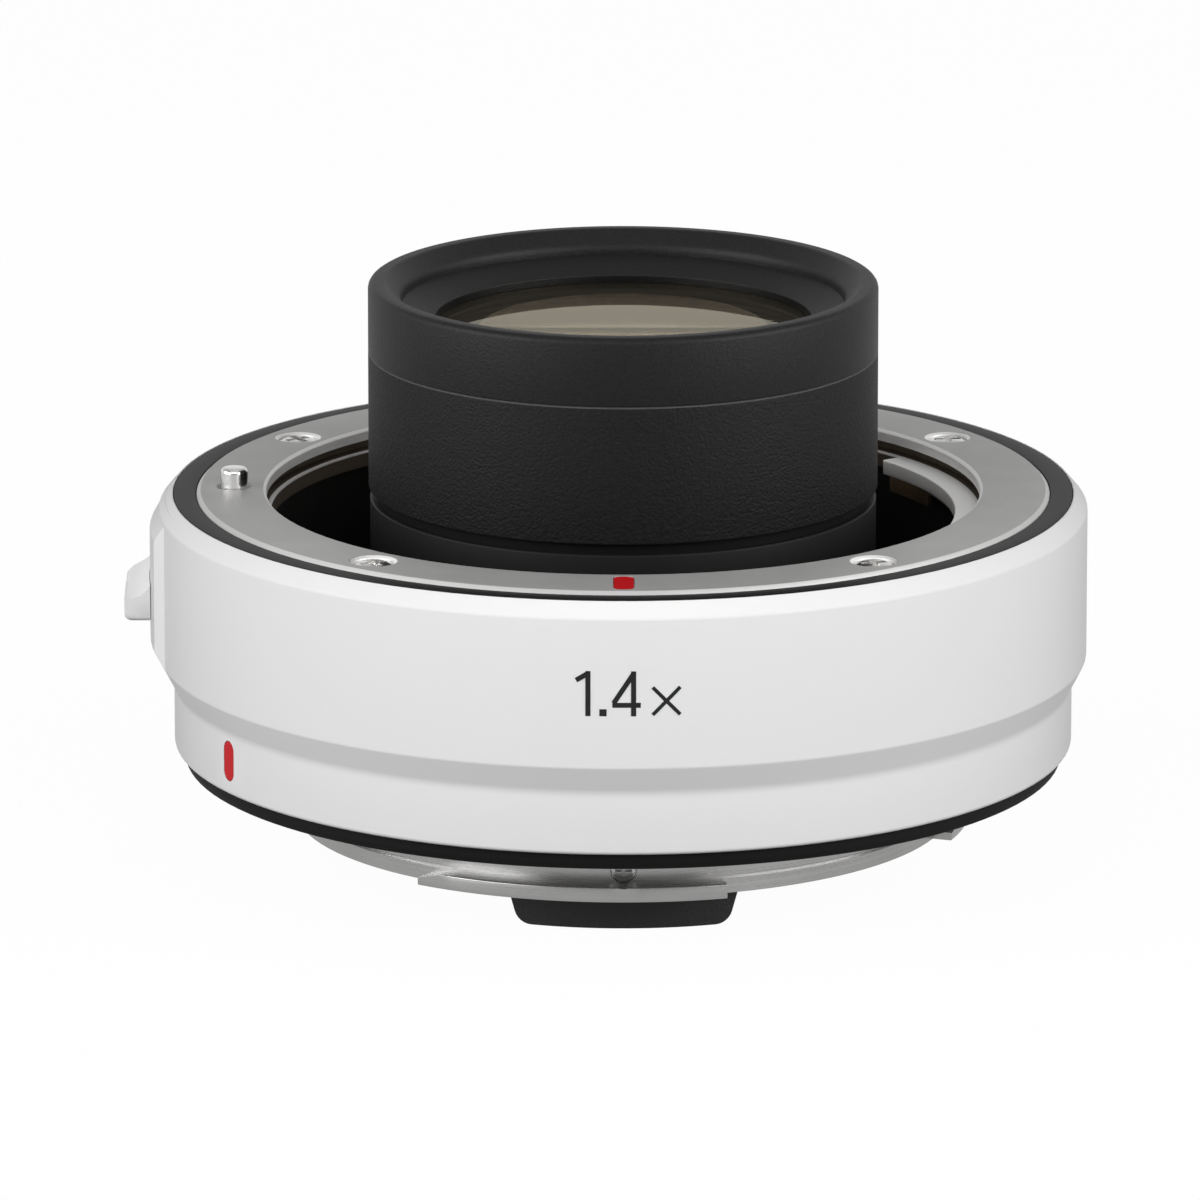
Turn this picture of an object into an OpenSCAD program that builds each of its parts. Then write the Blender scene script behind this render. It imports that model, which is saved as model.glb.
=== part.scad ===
// Camera teleconverter: short ring body with a bayonet mount on each side and a lens barrel on the axis.
// Millimetres. Optical axis on Z, camera flange plane at z = 0, lens side up, index side toward -Y,
// release lever toward -X. Angles are measured from the index side toward +X.

/* [Body] */
// Distance from the camera flange to the lens flange
flange_gap = 20.3; // [20:0.1:22.5]
// Width of the dark bezel round the lens mount
bezel_w = 1.8; // [1.6:0.1:2.2]
// Depth of the bezel below the lens flange
bezel_drop = 0.25; // [0.15:0.05:0.4]
// Radial width of the bright chamfer at the top of the shell
top_chamfer = 1; // [0.8:0.05:1.1]
// Radial step from the upper white band to the lower one
step_in = 1.1; // [0.9:0.05:1.3]
// Wall of the shell at the lower band
shell_wall = 1.3; // [1.1:0.05:1.4]
// Height of the shell's lower edge above the camera flange
shell_lift = 0.45; // [0.3:0.05:0.6]
// Height of the lower band with its rounded foot
step_h = 4.8; // [4.4:0.1:5.2]
// Height of the slope between the two bands
slope_h = 2.2; // [1.8:0.1:2.6]

/* [Lens-side mount] */
// Throat diameter between the claws, which every other radius follows
throat_d = 54; // [52:0.1:56]
// Width of the mount ring
ring_w = 5.7; // [5.4:0.05:6]
// Thickness of the mount ring
lens_mount_t = 1.8; // [1.7:0.05:2]
// Depth of the claws below the lens flange
claw_depth = 1.7; // [1.6:0.05:1.8]
// Thickness of the claws
claw_t = 1.15; // [1:0.05:1.25]
// Reach of the claws into the throat
claw_reach = 1.55; // [1.4:0.05:1.65]
// Diameter of the lock pin
lock_pin_d = 2.1; // [1.9:0.05:2.2]
// Height of the lock pin above the flange
lock_pin_h = 1.5; // [1.2:0.1:1.8]
// Travel of the lock pin and the release lever
lock_travel = 2; // [1.9:0.05:2.1]

/* [Camera-side mount] */
// Width of the gasket from the camera flange to the shell's bore
gasket_w = 1.7; // [1.5:0.05:1.9]
// Height of the gasket lip behind the camera flange
gasket_lip = 0.84; // [0.6:0.05:1]
// Thickness of the camera mount plate
cam_plate_t = 1.6; // [1.5:0.05:1.8]
// Depth of the spigot behind the camera flange
spigot_h = 5.35; // [5.2:0.05:5.6]
// Wall of the spigot
spigot_wall = 1.5; // [1.4:0.05:1.6]
// Radial gap of the lugs in a throat of the same size
lug_gap = 0.25; // [0.2:0.05:0.4]
// Reach of the lugs from the spigot
lug_reach = 1.55; // [1.4:0.05:1.65]
// Thickness of the lugs
lug_t = 1.15; // [1:0.05:1.25]
// Depth of the rear tab below the spigot
tab_drop = 3.29; // [2.9:0.01:3.6]
// Inset of the rear tab from the spigot's bore
tab_inset = 1.5; // [1.3:0.05:1.7]

/* [Barrel] */
// Width of the open ring between the barrel and the throat
barrel_gap = 7.5; // [7.2:0.05:7.9]
// Height of the hood rim above the lens flange
hood_h = 16.15; // [15.9:0.05:16.6]
// Length of the hood from its rim to the joint with the sleeve
hood_len = 5.25; // [4.9:0.05:5.6]
// Height of the dark gap between the sleeve and the barrel base
base_gap = 0.8; // [0.6:0.05:1]
// Width of the hood's lip over the edge of the front glass
lip_w = 0.8; // [0.7:0.05:1]

/* [Release lever] */
// Rise of the pad under the lever from the upper band
pad_rise = 0.7; // [0.6:0.05:0.8]
// Half width of the pad
pad_hw = 6.2; // [6:0.1:6.6]
// Half width of the lever
lever_hw = 3.2; // [2.9:0.1:3.5]
// Reach of the lever from the pad
lever_out = 1.9; // [1.8:0.05:2.1]

/* [Contacts] */
// Angle between neighbouring contact pins
pin_pitch = 5.6; // [5.4:0.1:5.8]
// Travel of each contact pin
pin_travel = 0.6; // [0.5:0.05:0.7]

/* [Fits] */
// Radial gap of pieces that are fixed in one another
slip = 0.05; // [0.04:0.01:0.08]
// Radial gap of pieces that slide in one another
run = 0.07; // [0.06:0.01:0.09]

/* [Hidden] */
$fn = 96;
eps = 0.01;

// heights
lens_z = flange_gap;
seat_z = lens_z - lens_mount_t;
bezel_top = lens_z - bezel_drop;
claw_top = lens_z - claw_depth;
claw_bot = claw_top - claw_t;
floor_t = 2;
floor_z = lens_z - 13.8;
floor_top = floor_z + floor_t;
base_top = lens_z - 0.6;
sleeve_z = base_top + base_gap;
rim_z = lens_z + hood_h;
joint_z = rim_z - hood_len;

// shell radii and heights
throat_r = throat_d / 2;
mount_r = throat_r + ring_w;
bezel_seat_r = mount_r + bezel_w;
body_r = bezel_seat_r + 0.1 + top_chamfer;
step_r = body_r - step_in;
bore_r = step_r - shell_wall;
foot_round = 0.35;
slope_fillet = 1.6;
gasket_r = step_r - 0.75;
step_top = shell_lift + step_h;
band_z = step_top + slope_h;
band_top = bezel_top - 1.12;
mark_angle = -60;
mark_r = 0.73;
mark_l = 1.6;
mark_z = shell_lift + 1.88;
mark_t = 0.35;

// lens mount
wall_r = throat_r + 0.35;
claw_r = throat_r + 1.35;
mount_screw_r = throat_r + ring_w / 2 + 0.05;
lock_r = throat_r + ring_w / 2 - 0.05;
mount_step_r = mount_r - 1.1;
mount_step_h = 0.45;
mount_bevel = 0.34;
wall_z = lens_z - 0.9;
wall_cut = 0.8;
head_r = 1.5;
head_h = 0.7;
head_drop = 0.12;
dish_r = 1.85;
mount_screw_len = 6;
shank_r = 0.8;
mount_screw_angles = [-38.8, 38.8, 122.3, -122.3];
claws = [[-74, 23.5], [78.5, 127.2], [168, 218]];
leaf_r = claw_inner() + 0.3;
leaf_t = 0.25;
leaf_drop = 1.3;
index_w = 1.6;
index_r0 = throat_r + 1;
index_r1 = mount_r - 0.7;
index_t = 0.3;
index_round = 0.6;

// camera mount
cam_r = bore_r - gasket_w;
cam_lip_r = cam_r + 1.2;
cam_lip_z = 1;
lug_r = throat_r - lug_gap;
spigot_r = lug_r - lug_reach;
neck_r = spigot_r - 0.3;
spigot_bore = spigot_r - spigot_wall;
spigot_z = -spigot_h;
lug_top = spigot_z + lug_t;
relief_r = lug_r + 0.25;
ledge_r = spigot_bore - 2.9;
ledge_z = spigot_z + 3;
ledge_t = 1.4;
lugs = [[-35.5, 17], [70, 106], [160, 214]];
cam_screw_r = (relief_r + cam_r) / 2;
cam_screw_angles = [45, 135, 225, 315];
cam_screw_len = 4.8;
cam_head_drop = 0.15;
lock_hole_r = 1.35;
lock_hole_t = 1.2;
side_screw_z = spigot_z + 2.05;
side_screw_angles = [0, 120, 240];
side_head_r = 0.95;
side_head_h = 0.5;
side_shank = 0.55;
side_screw_len = 3;

// rear baffle and contacts
baffle_r = spigot_bore - slip;
baffle_foot = spigot_z + 0.25;
baffle_floor = spigot_z + 0.75;
baffle_floor_t = 1.2;
tab_r = spigot_bore - tab_inset;
tab_depth = spigot_h + tab_drop;
tab_t = 1.3;
tab_hw = 9.25;
guard_hw = 13;
rear_block_z = baffle_floor - 2;
rear_block_r0 = tab_r - 4.8;
rear_block_half = 35;
pads_r = tab_r - 3.1;
pad_w = 1.2;
pad_l = 2.2;
window_hw = tab_r - 8.2;
window_hh = tab_r - 12.7;

// chassis
chassis_r = bore_r - slip;
low_bore = throat_r + 0.2;
cavity_r = throat_r + 0.6;

// barrel and glass
barrel_r = throat_r - barrel_gap;
tube_r = barrel_r - 2;
tube_hole = tube_r + 0.2;
tube_z = baffle_floor + baffle_floor_t + 0.2;
tube_flange_r = barrel_r - 0.6;
base_flange_r = barrel_r + 1.7;
base_flange_t = 1.5;
base_screw_r = barrel_r + 0.85;
base_screw_angles = [30, 150, 270];
base_shank = 0.45;
base_head_r = 0.75;
base_head_h = 0.5;
front_glass_r = tube_r - 2.3;
lip_r = front_glass_r - lip_w;
lip_z = rim_z - 3.45;
tube_top = lip_z - 0.6;
pair4_r = tube_r - 4.1;
pair4_foot = tube_z + 1.8;
pair4_joint = pair4_foot + 3.5;
pair4_z = pair4_joint + 5.4;
pair3_r = tube_r - 5.1;
pair3_back = pair4_z + 1.7;
pair3_joint = pair3_back + 4.7;
pair3_seat = pair3_joint + 3.44;
pair2_r = tube_r - 3.9;
pair2_seat = pair3_seat + 1.96;
pair2_joint = pair2_seat + 3;
pair2_z = pair2_joint + 5.2;
glass1_back = pair2_z + 2.5;
glass1_R = 120;
glass1_z = lip_z - 0.02 + sag(glass1_R, lip_r);
glass2_R = 45;
joint2_R = 40;
glass3_R = 60;
glass4_R = 45;
joint3_R = 38;
glass5_R = 55;
glass6_R = 50;
joint4_R = 36;
glass7_R = 48;
mask_r = pair2_r - 2.7;
cement = 0.02;

// lock and lever
slider_top = lens_z - 6.9;
slider_t = 2;
slider_bot = slider_top - slider_t;
slider_in = lock_r - 1.05;
slider_out = bore_r - 0.5;
slider_hw = 3.9;
spring_len = 3.4;
pocket_z = slider_bot - spring_len;
pocket_top = seat_z - 1.5;
pocket_in = lock_r - 1.3;
pocket_hw = 4.4;
tail_r = 0.7;
rod_r = 0.6;
rod_x = lock_r + 0.6;
rod_y = 2.9;
cross_r = 0.45;
cross_x = slider_out - 0.8;
stem_hw = 1.4;
stem_z0 = slider_bot + 0.2;
stem_z1 = slider_top - 0.2;
stem_in = cross_x - 0.7;
pad_r = body_r + pad_rise;
lever_reach = pad_r + lever_out;
lever_gap = 0.05;
lever_z0 = lens_z - 9.87;
lever_z1 = lens_z - 6.32;
lever_bevel = 0.3;
scoop_r = 2.02;
scoop_rise = 0.87;
scoop_tilt = 11;
stop_gap = 0.05;

// front contacts
block_r0 = base_flange_r + 0.3;
block_r1 = claw_inner() - 0.4;
pin_circle_r = (block_r0 + block_r1) / 2;
block_top = lens_z - 5.3;
block_half = 36;
tip_r = 0.4;
collar_r = 0.62;
chamber_r = collar_r + run;
chamber_z = floor_top + 0.8;
chamber_top = block_top - 1.6;
collar_t = 0.7;
tip_h = pin_travel + 0.2;

// board
board_t = 1;
board_z = floor_z - 1.5 - board_t;
board_r0 = tube_r + 1.1;
board_r1 = low_bore - 0.4;
boss_r = low_bore - 2.7;
boss_angles = [60, 105, 300];
board_shank = 0.5;
board_head_r = 0.95;
board_head_h = 0.6;
chip_r = (board_r0 + board_r1) / 2;

// flat strips
flex_t = 0.2;
flex_r = pin_circle_r - 0.3;
rear_flex_r = tab_r - 2.5;
flex_half = 8;
flex_span = 31;
flex_slot_t = 0.8;

// colours
WHITE = [0.88, 0.87, 0.84];
BLACK = [0.09, 0.09, 0.1];
GREY = [0.27, 0.27, 0.28];
STEEL = [0.66, 0.66, 0.65];
RED = [0.78, 0.12, 0.08];
BRONZE = [0.55, 0.42, 0.28];
GOLD = [0.83, 0.67, 0.32];
GREEN = [0.1, 0.3, 0.18];
AMBER = [0.62, 0.36, 0.12];
GLASS = [0.62, 0.58, 0.5, 0.6];

function sag(R, r) = R - sqrt(R * R - r * r);
function claw_inner() = throat_r - claw_reach;
function unit(v) = v / norm(v);

// points of the arc of radius r that rounds the corner b between a and c
function corner(a, b, c, r, n) =
  let (u = unit(a - b), v = unit(c - b), half = acos(max(-1, min(1, u * v))) / 2,
       m = b + unit(u + v) * (r / sin(half)), p = b + u * (r / tan(half)) - m,
       q = b + v * (r / tan(half)) - m, s = atan2(p[1], p[0]), d = atan2(q[1], q[0]) - s,
       turn = d > 180 ? d - 360 : d < -180 ? d + 360 : d)
  [for (i = [0 : n]) m + r * [cos(s + turn * i / n), sin(s + turn * i / n)]];

// outline whose corners are [x, y, radius]
function rounded(pts, n = 4) =
  [for (i = [0 : len(pts) - 1])
     let (p = pts[i], a = pts[(i + len(pts) - 1) % len(pts)], c = pts[(i + 1) % len(pts)])
     each p[2] > 0 ? corner([a[0], a[1]], [p[0], p[1]], [c[0], c[1]], p[2], n) : [[p[0], p[1]]]];

module lathe(pts) rotate_extrude() polygon(pts);

module ring(r0, r1, z0, z1) lathe([[r0, z0], [r1, z0], [r1, z1], [r0, z1]]);

module arc(r0, r1, z0, z1, from, to)
  rotate([0, 0, from - 90]) rotate_extrude(angle = to - from)
    polygon([[r0, z0], [r1, z0], [r1, z1], [r0, z1]]);

// places children on the circle of radius r at an angle from the index side
module at(angle, r) rotate([0, 0, angle]) translate([0, -r, 0]) children();

module bar(r, z0, z1) translate([0, 0, z0]) cylinder(r = r, h = z1 - z0);

// cross-head screw with the top of its bevelled head at z = 0
module cross_screw(hr, hh, sr, length, cross = 0.36) {
  difference() {
    lathe([[0, -length], [sr, -length], [sr, -hh], [hr, -hh], [hr, -0.14 * hr], [0.65 * hr, 0], [0, 0]]);
    for (a = [45, 135]) rotate([0, 0, a])
      translate([-hr * 0.68, -cross * hr / 2, -hh * 0.6]) cube([hr * 1.36, cross * hr, hh]);
  }
}

// hole for such a screw, dished at the mouth; the mouth is at z = 0
module screw_hole(hr, drop, hh, sr, length, mouth)
  lathe([[0, -length - 0.3], [sr + slip, -length - 0.3], [sr + slip, -drop - hh], [hr + slip, -drop - hh],
    each mouth > 0 ? [[hr + slip, -drop - 0.05], [mouth, eps]] : [[hr + slip, eps]], [0, eps]]);

// plain round hole that opens at both ends of the height given
module drill(r, z0, z1) translate([0, 0, z0]) cylinder(r = r + slip, h = z1 - z0, $fn = 32);

// gap that follows tooth i of a list of [from, to] angles
function gap_after(list, i) =
  [list[i][1], i < len(list) - 1 ? list[i + 1][0] : list[0][0] + 360];

module gaps(list, r0, r1, z0, z1)
  for (i = [0 : len(list) - 1])
    arc(r0, r1, z0, z1, gap_after(list, i)[0], gap_after(list, i)[1]);

// white shell
module shell_profile()
  lathe(rounded([[bore_r, shell_lift, 0], [step_r, shell_lift, foot_round], [step_r, step_top, slope_fillet],
    [body_r, band_z, 0.5], [body_r, band_top, 0.5],
    [bezel_seat_r + 0.1, bezel_top, 0.04], [bezel_seat_r, bezel_top, 0.04], [bezel_seat_r, seat_z, 0],
    [bore_r, seat_z, 0]]));

module pad_solid()
  intersection() {
    lathe(rounded([[bore_r + 0.4, step_top - 0.1, 0], [step_r - 0.06, step_top - 0.1, 0],
      [pad_r, band_z + 1.2, 0.5], [pad_r, band_top - 1.5, 0.9], [body_r - 0.5, band_top + 0.6, 0],
      [bezel_seat_r + 0.15, band_top + 0.6, 0], [bezel_seat_r + 0.15, seat_z - 0.5, 0],
      [bore_r + 0.4, seat_z - 0.5, 0]]));
    linear_extrude(height = lens_z)
      polygon(rounded([[-bore_r + 1, -pad_hw - 0.35, 0], [-bore_r + 1, pad_hw + 0.35, 0],
        [-body_r + 0.9, pad_hw + 0.35, 0], [-pad_r - 0.15, pad_hw - 0.6, 0.5],
        [-pad_r - 0.6, pad_hw - 0.9, 0], [-pad_r - 0.6, -pad_hw + 0.9, 0],
        [-pad_r - 0.15, -pad_hw + 0.6, 0.5], [-body_r + 0.9, -pad_hw - 0.35, 0]]));
  }

module bar_mark(r, grow)
  at(mark_angle, r) rotate([90, 0, 0]) linear_extrude(height = 3) {
    for (z = [mark_z, mark_z + mark_l]) translate([0, z]) circle(r = mark_r + grow, $fn = 32);
    translate([-mark_r - grow, mark_z]) square([2 * (mark_r + grow), mark_l]);
  }

module body_shell() color(WHITE)
  difference() {
    union() { shell_profile(); pad_solid(); }
    translate([-pad_r - 3, -stem_hw - run, stem_z0 - lock_travel - stop_gap])
      cube([pad_r + 3 - bore_r + 2, 2 * (stem_hw + run), stem_z1 - stem_z0 + lock_travel + 2 * stop_gap]);
    difference() {
      bar_mark(step_r - mark_t - 0.05, slip);
      bar(step_r - mark_t, 0, step_top);
    }
  }

module body_index() color(RED)
  intersection() {
    ring(step_r - mark_t, step_r - 0.01, 0, step_top);
    bar_mark(step_r - mark_t - 0.05, 0);
  }

module front_bezel() color(GREY)
  lathe(rounded([[mount_step_r + 0.1, seat_z, 0], [bezel_seat_r - slip, seat_z, 0],
    [bezel_seat_r - slip, bezel_top, 0.1], [mount_r + slip, bezel_top, 0.1],
    [mount_r + slip, seat_z + mount_step_h - slip, 0],
    [mount_step_r + 0.1, seat_z + mount_step_h - slip, 0]]));

// lens-side bayonet
module lens_mount() color(STEEL)
  difference() {
    lathe(rounded([[claw_inner(), claw_bot, 0.1], [claw_r, claw_bot, 0], [claw_r, seat_z, 0],
      [mount_step_r, seat_z, 0], [mount_step_r, seat_z + mount_step_h, 0],
      [mount_r, seat_z + mount_step_h, 0], [mount_r, lens_z - mount_bevel, 0.1],
      [mount_r - mount_bevel, lens_z, 0.1], [wall_r + 0.2, lens_z, 0.08], [wall_r, lens_z - 0.2, 0.08],
      [wall_r, wall_z, 0], [wall_r + wall_cut, wall_z - 0.05, 0],
      [wall_r + wall_cut, claw_top, 0], [claw_inner(), claw_top, 0.1]]));
    gaps(claws, claw_inner() - 1, throat_r, claw_bot - 1, claw_top + 1);
    for (a = mount_screw_angles) at(a, mount_screw_r) translate([0, 0, lens_z])
      screw_hole(head_r, head_drop, head_h, shank_r, lens_mount_t + 0.5, dish_r, $fn = 48);
    translate([-lock_r, 0, 0]) bar(lock_pin_d / 2 + 0.35, seat_z - 1, lens_z + 1, $fn = 48);
    flange_mark(0, lens_z - index_t, lens_z + 1);
  }

module lens_mount_screws() color(STEEL)
  for (a = mount_screw_angles) at(a, mount_screw_r)
    translate([0, 0, lens_z - head_drop]) rotate([0, 0, 20])
      cross_screw(head_r, head_h, shank_r, mount_screw_len);

module lens_mount_index() color(RED)
  flange_mark(-slip, lens_z - index_t, lens_z - 0.02);

// round-cornered block of the index mark, larger all round by grow
module flange_mark(grow, z0, z1)
  at(0, (index_r0 + index_r1) / 2) translate([0, 0, z0]) linear_extrude(height = z1 - z0)
    polygon(rounded([for (p = [[-1, -1], [1, -1], [1, 1], [-1, 1]])
      [p[0] * (index_w / 2 + grow), p[1] * ((index_r1 - index_r0) / 2 + grow), index_round + grow]]));

// bronze leaf under each claw with two bent ends
module mount_leaf_springs() color(BRONZE)
  for (c = claws) difference() {
    rotate([0, 0, c[0] + 2 - 90]) rotate_extrude(angle = c[1] - c[0] - 3)
      polygon([[leaf_r, claw_bot - leaf_drop], [leaf_r + leaf_t, claw_bot - leaf_drop],
        [leaf_r + leaf_t, claw_bot - leaf_t], [throat_r - 0.1, claw_bot - leaf_t],
        [throat_r - 0.1, claw_bot], [leaf_r, claw_bot]]);
    arc(leaf_r - 1, throat_r, claw_bot - leaf_drop - 1, claw_bot - leaf_t - 0.05, c[0] + 14, c[1] - 14);
  }

// ring frame
module chassis() color(BLACK)
  difference() {
    union() {
      lathe([[low_bore, cam_plate_t], [chassis_r, cam_plate_t], [chassis_r, seat_z], [claw_r + slip, seat_z],
        [claw_r + slip, claw_bot - 0.1], [cavity_r, claw_bot - 0.1], [cavity_r, floor_top],
        [tube_hole, floor_top], [tube_hole, floor_z], [low_bore, floor_z]]);
      for (a = boss_angles) at(a, boss_r) bar(1.6, board_z + board_t, floor_z + 0.3, $fn = 48);
    }
    for (a = mount_screw_angles) at(a, mount_screw_r)
      drill(shank_r, lens_z - head_drop - mount_screw_len - 0.3, seat_z + 1);
    for (a = cam_screw_angles) at(a, cam_screw_r) drill(shank_r, cam_plate_t - 1, cam_screw_len + 0.5);
    for (a = boss_angles) at(a, boss_r) drill(board_shank, board_z, floor_z + 0.6);
    for (a = base_screw_angles) at(a, base_screw_r) drill(base_shank, floor_z + 0.3, floor_top + 1);
    translate([-chassis_r - 2, -pocket_hw, pocket_z])
      cube([chassis_r + 2 - pocket_in, 2 * pocket_hw, pocket_top - pocket_z]);
    translate([-lock_r, 0, 0]) bar(lock_pin_d / 2 + run, pocket_top - 1, seat_z + 1, $fn = 48);
    for (s = [-1, 1]) translate([-rod_x, s * rod_y, 0]) drill(rod_r, pocket_z - 1, pocket_top + 0.9);
    flex_slot(flex_r, floor_z - 1, floor_top + 1);
  }

// slot that a flat strip passes through
module flex_slot(r, z0, z1)
  arc(r - flex_slot_t / 2, r + flex_slot_t / 2, z0, z1, 180 - flex_half - 1, 180 + flex_half + 1);

module circuit_board() color(GREEN)
  difference() {
    ring(board_r0, board_r1, board_z, board_z + board_t);
    for (a = boss_angles) at(a, boss_r) drill(board_shank, board_z - 1, board_z + board_t + 1);
  }

// chips under the board as [angle, width, depth, height]
chips = [[0, 5, 5, 1], [-95, 4, 5, 0.9], [28, 3, 2.4, 0.8], [135, 3.2, 3.2, 0.9]];

module board_chips() color(BLACK)
  for (c = chips) at(c[0], chip_r) translate([-c[1] / 2, -c[2] / 2, board_z - c[3]]) cube([c[1], c[2], c[3]]);

module board_screws() color(STEEL)
  for (a = boss_angles) at(a, boss_r) translate([0, 0, board_z - board_head_h]) rotate([180, 0, 0])
    cross_screw(board_head_r, board_head_h, board_shank, board_head_h + board_t + 1);

module front_flex() color(AMBER) {
  arc(block_r0 + 0.4, block_r1 - 0.4, floor_top, floor_top + flex_t, 180 - flex_span, 180 + flex_span);
  arc(flex_r - flex_t / 2, flex_r + flex_t / 2, board_z + board_t, floor_top + flex_t / 2,
    180 - flex_half, 180 + flex_half);
}

module rear_flex() color(AMBER)
  arc(rear_flex_r - flex_t / 2, rear_flex_r + flex_t / 2, baffle_floor, board_z,
    180 - flex_half, 180 + flex_half);

function pin_angle(i) = 180 + (i - 6.5) * pin_pitch;

module front_contact_block() color(BLACK)
  difference() {
    arc(block_r0, block_r1, floor_top, block_top, 180 - block_half, 180 + block_half);
    arc(block_r0 + 0.3, block_r1 - 0.3, floor_top - 1, floor_top + flex_t + slip,
      180 - flex_span - 1, 180 + flex_span + 1);
    for (i = [1 : 12]) at(pin_angle(i), pin_circle_r) {
      bar(chamber_r, chamber_z, chamber_top, $fn = 32);
      bar(tip_r + run, chamber_top - 1, block_top + 1, $fn = 32);
    }
  }

module contact_pin(i) color(GOLD)
  at(pin_angle(i), pin_circle_r) {
    bar(collar_r, chamber_top - 0.03 - collar_t, chamber_top - 0.03, $fn = 32);
    bar(tip_r, chamber_top - 0.1, block_top + tip_h - tip_r, $fn = 32);
    translate([0, 0, block_top + tip_h - tip_r]) sphere(r = tip_r, $fn = 32);
  }

module contact_pin_01() contact_pin(1);
module contact_pin_02() contact_pin(2);
module contact_pin_03() contact_pin(3);
module contact_pin_04() contact_pin(4);
module contact_pin_05() contact_pin(5);
module contact_pin_06() contact_pin(6);
module contact_pin_07() contact_pin(7);
module contact_pin_08() contact_pin(8);
module contact_pin_09() contact_pin(9);
module contact_pin_10() contact_pin(10);
module contact_pin_11() contact_pin(11);
module contact_pin_12() contact_pin(12);

// springs of the contact pins, closed inside the block, as plain sleeves
module contact_springs() color(STEEL)
  for (i = [1 : 12]) at(pin_angle(i), pin_circle_r)
    ring(0.34, 0.58, chamber_z, chamber_top - 0.03 - collar_t);

// finger lever whose top is hollowed toward the index side
module release_lever() color(WHITE) {
  difference() {
    translate([0, lever_hw, 0]) rotate([90, 0, 0]) linear_extrude(height = 2 * lever_hw)
      polygon(rounded([[-pad_r + 0.6, lever_z0, 0], [-lever_reach, lever_z0, 0.6],
        [-lever_reach, lever_z1 - 1.25, 0.6], [-pad_r - 1.45, lever_z1 - 0.78, 0.5],
        [-pad_r - 0.38, lever_z1 - 0.17, 0.5], [-pad_r + 0.1, lever_z1 + 0.35, 0.1],
        [-pad_r + 0.6, lever_z1 + 0.35, 0]]));
    translate([-lever_reach + 0.2, 0, lever_z1 + scoop_rise]) rotate([90 + scoop_tilt, 0, 0])
      cylinder(r = scoop_r, h = 4 * lever_hw, center = true);
    bar(pad_r + lever_gap, lever_z0 - 1, lever_z1 + 1);
    for (s = [-1, 1]) translate([-lever_reach, s * lever_hw, lever_z0]) rotate([45, 0, 0])
      cube([4 * lever_out, sqrt(2) * lever_bevel, sqrt(2) * lever_bevel], center = true);
    for (s = [-1, 1]) translate([-lever_reach - 1, s * (lever_hw + 0.35), lever_z0 - 1])
      rotate([0, 0, s * 20]) translate([0, -0.5, 0]) cube([1.5, 1, lever_z1 - lever_z0 + 2]);
  }
  difference() {
    translate([-pad_r - 0.3, -stem_hw, stem_z0])
      cube([pad_r + 0.3 - stem_in, 2 * stem_hw, stem_z1 - stem_z0]);
    translate([-cross_x, 0, 0]) drill(cross_r, stem_z0 - 1, stem_z1 + 1);
  }
}

module lock_slider() color(STEEL)
  difference() {
    translate([-slider_out, -slider_hw, slider_bot]) cube([slider_out - slider_in, 2 * slider_hw, slider_t]);
    translate([-lock_r, 0, 0]) drill(tail_r, slider_bot - 1, slider_top + 1);
    for (s = [-1, 1]) translate([-rod_x, s * rod_y, 0])
      bar(rod_r + run, slider_bot - 1, slider_top + 1, $fn = 32);
    translate([-slider_out - 1, -stem_hw - slip, stem_z0 - slip])
      cube([slider_out + 1 - stem_in + slip, 2 * (stem_hw + slip), stem_z1 - stem_z0 + 2 * slip]);
    translate([-cross_x, 0, 0]) drill(cross_r, slider_bot - 1, slider_top + 1);
  }

module lock_pin() color(STEEL) translate([-lock_r, 0, 0]) {
  lathe(rounded([[0, slider_top, 0], [lock_pin_d / 2, slider_top, 0],
    [lock_pin_d / 2, lens_z + lock_pin_h, 0.35], [0, lens_z + lock_pin_h, 0]]));
  bar(tail_r, pocket_z + lock_travel + stop_gap, slider_top + eps, $fn = 32);
}

module lever_cross_pin() color(STEEL)
  translate([-cross_x, 0, 0]) bar(cross_r, slider_bot, slider_top, $fn = 32);

module lock_guide_rods() color(STEEL)
  for (s = [-1, 1]) translate([-rod_x, s * rod_y, 0]) bar(rod_r, pocket_z - 1, pocket_top + 0.8, $fn = 32);

// coil under the slider, one tube with flat closed ends
spring_turns = 4;
spring_wire = 0.13;
spring_coil_r = 1.05;
spring_sides = 6;
spring_steps = 14 * spring_turns;

function coil_point(k, j) =
  let (a = 360 * spring_turns * k / spring_steps, b = 360 * j / spring_sides,
       z = pocket_z + spring_wire + (spring_len - 2 * spring_wire) * k / spring_steps,
       r = spring_coil_r + spring_wire * cos(b))
  [r * cos(a), r * sin(a), z + spring_wire * sin(b)];

module lock_spring() color(STEEL) translate([-lock_r, 0, 0])
  polyhedron(
    points = [for (k = [0 : spring_steps]) for (j = [0 : spring_sides - 1]) coil_point(k, j)],
    faces = concat(
      [for (k = [0 : spring_steps - 1]) for (j = [0 : spring_sides - 1])
        let (n = (j + 1) % spring_sides, a = k * spring_sides, b = a + spring_sides)
        each [[a + j, b + j, b + n], [a + j, b + n, a + n]]],
      [[for (j = [0 : spring_sides - 1]) j],
       [for (j = [spring_sides - 1 : -1 : 0]) spring_steps * spring_sides + j]]));

// barrel
module front_hood() color(BLACK)
  lathe(rounded([[tube_r + slip, joint_z, 0], [barrel_r, joint_z, 0.06], [barrel_r, rim_z, 0.5],
    [barrel_r - 1.3, rim_z, 0.5], [barrel_r - 2.6, rim_z - 1.15, 0.9], [barrel_r - 2.6, rim_z - 1.8, 0],
    [lip_r, lip_z + 0.6, 0.1], [lip_r, lip_z, 0], [front_glass_r + 0.15, lip_z, 0],
    [front_glass_r + 0.15, tube_top, 0], [tube_r + slip, tube_top, 0]]));

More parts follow.
